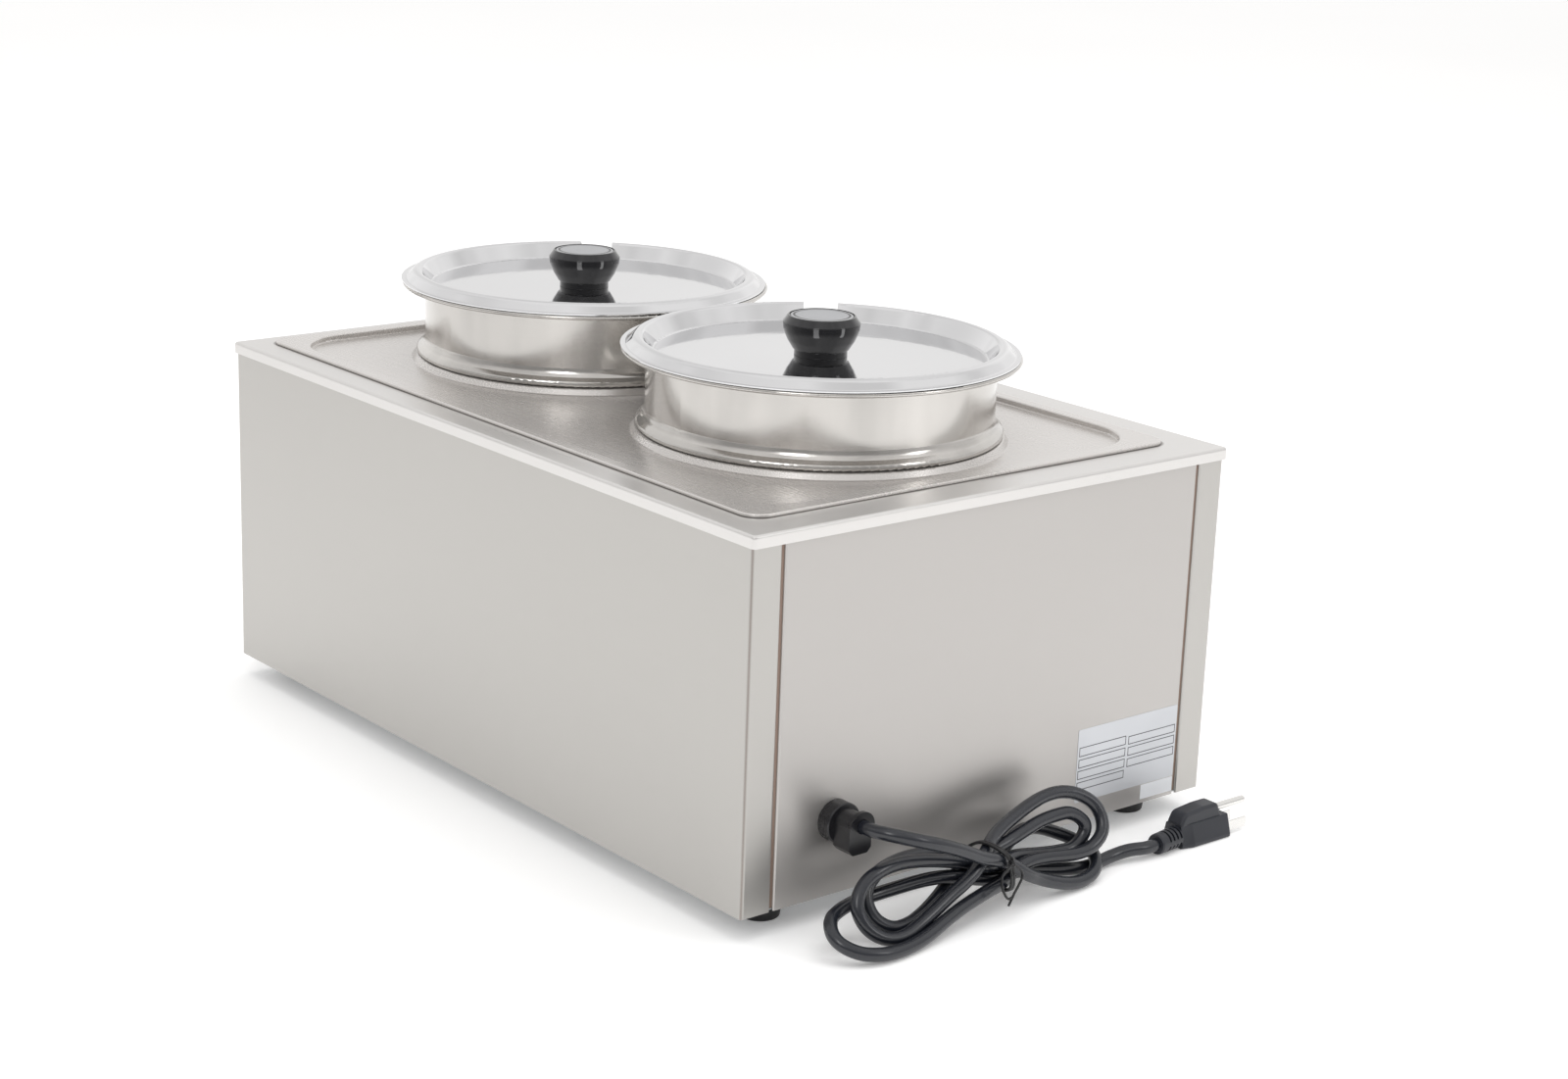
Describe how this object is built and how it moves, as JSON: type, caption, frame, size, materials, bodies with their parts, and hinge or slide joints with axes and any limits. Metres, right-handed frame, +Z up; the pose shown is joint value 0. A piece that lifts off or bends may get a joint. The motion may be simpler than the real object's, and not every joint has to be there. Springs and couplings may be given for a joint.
{
  "type": "countertop food warmer",
  "caption": "Rectangular stainless countertop food warmer with a water well, an adapter plate, covered round inset pots, a thermostat dial and a mains cord tied in a hank.",
  "frame": {"origin": "on the ground under the middle of the housing, feet at z = 0", "axes": "+Z up; +Y to the rear, the side the mains cord leaves from; +X to the operator's right"},
  "size_m": [0.372, 0.6503, 0.3077],
  "materials": {
    "stainless": "satin brushed",
    "pot_steel": "fine spun satin",
    "lid_steel": "bright polished",
    "galvanised": "galvanised sheet",
    "element_steel": "heat-dulled sheath",
    "zinc_steel": "bright zinc plate",
    "copper": "bare copper",
    "insulation": "mineral fibre blanket",
    "ceramic": "glazed",
    "phenolic": "gloss moulded",
    "black_plastic": "semi-gloss moulded",
    "dial_plate": "fine satin",
    "lens": "clear amber",
    "rubber": "moulded",
    "wire": "insulated wire",
    "cord": "semi-gloss jacket",
    "tie": "gloss",
    "prong": "plated",
    "inlay": "satin",
    "label_silver": "satin film",
    "label_white": "matt film"
  },
  "bodies": {
    "housing": {"top_deck": "stainless", "side_panel_left": "stainless", "side_panel_right": "stainless", "rear_panel": "stainless", "front_panel": "stainless", "bottom_plate": "galvanised", "bottom_screws": "zinc_steel", "water_well": "stainless", "insulation_wrap": "insulation", "heating_element": "element_steel", "element_clamps": "galvanised", "thermostat_body": "phenolic", "thermostat_nut": "zinc_steel", "thermostat_bulb": "copper", "dial_plate": "dial_plate", "lamp_housing": "black_plastic", "lamp_lens": "lens", "terminal_block": "ceramic", "earth_stud": "zinc_steel", "internal_wiring": "wire", "foot_front_left": "rubber", "foot_front_right": "rubber", "foot_rear_left": "rubber", "foot_rear_right": "rubber", "foot_screws": "zinc_steel", "foot_nuts": "zinc_steel", "cord_gland": "black_plastic", "gland_locknut": "black_plastic", "cord_lead": "cord", "cord_hank": "cord", "cord_tail": "cord", "twist_tie": "tie", "plug_body": "cord", "plug_strain_relief": "cord", "plug_prongs": "prong", "rating_label": "label_silver", "small_label": "label_white"},
    "plate": {"adapter_plate": "stainless"},
    "pot_rear": {"pot_rear": "pot_steel", "pot_collar_rear": "pot_steel"},
    "pot_front": {"pot_front": "pot_steel", "pot_collar_front": "pot_steel"},
    "lid_rear": {"lid_rear": "lid_steel", "knob_rear": "phenolic", "knob_inlay_rear": "inlay", "knob_screw_rear": "zinc_steel"},
    "lid_front": {"lid_front": "lid_steel", "knob_front": "phenolic", "knob_inlay_front": "inlay", "knob_screw_front": "zinc_steel"},
    "dial": {"control_dial": "black_plastic", "thermostat_shaft": "zinc_steel"}
  },
  "joints": [
    {"name": "plate_lift", "type": "slide", "parent": "housing", "child": "plate", "axis": [0, 0, 1], "range_m": [0, 0.21]},
    {"name": "pot_rear_lift", "type": "slide", "parent": "plate", "child": "pot_rear", "axis": [0, 0, 1], "range_m": [0, 0.21]},
    {"name": "pot_front_lift", "type": "slide", "parent": "plate", "child": "pot_front", "axis": [0, 0, 1], "range_m": [0, 0.21]},
    {"name": "lid_rear_lift", "type": "slide", "parent": "pot_rear", "child": "lid_rear", "axis": [0, 0, 1], "range_m": [0, 0.12]},
    {"name": "lid_front_lift", "type": "slide", "parent": "pot_front", "child": "lid_front", "axis": [0, 0, 1], "range_m": [0, 0.12]},
    {"name": "dial_turn", "type": "hinge", "parent": "housing", "child": "dial", "pos_m": [0, -0.2802, 0.05], "axis": [0, 1, 0], "range_deg": [0, 270]}
  ]
}
